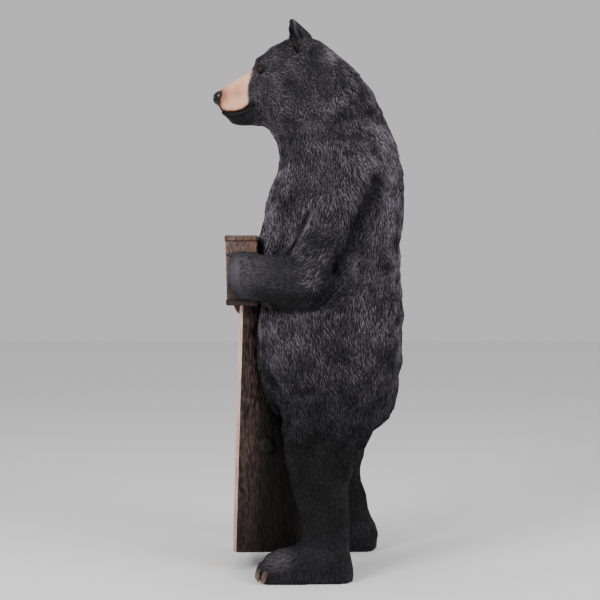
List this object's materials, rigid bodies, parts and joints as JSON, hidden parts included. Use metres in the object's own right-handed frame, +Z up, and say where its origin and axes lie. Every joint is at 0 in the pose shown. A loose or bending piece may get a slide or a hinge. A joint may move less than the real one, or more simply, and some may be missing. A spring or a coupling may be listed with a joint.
{
  "type": "bear statue",
  "caption": "Life-size standing bear that holds an open wooden box between its front paws, over an upright split log with its bark on.",
  "frame": {"origin": "middle of the bottom of the whole statue's bounding box, on the floor", "axes": "+Z up, the bear faces -Y, its left side is +X"},
  "size_m": [0.6498, 0.6308, 1.7929],
  "materials": {
    "bear": "painted cast resin, near-black fur with dry-brushed grey strokes",
    "wooden_box": "rough reddish-brown boards",
    "log_post": "dark bark with a pale sawn face"
  },
  "bodies": {
    "root": {"bear": "bear", "wooden_box": "wooden_box", "log_post": "log_post"}
  },
  "joints": []
}
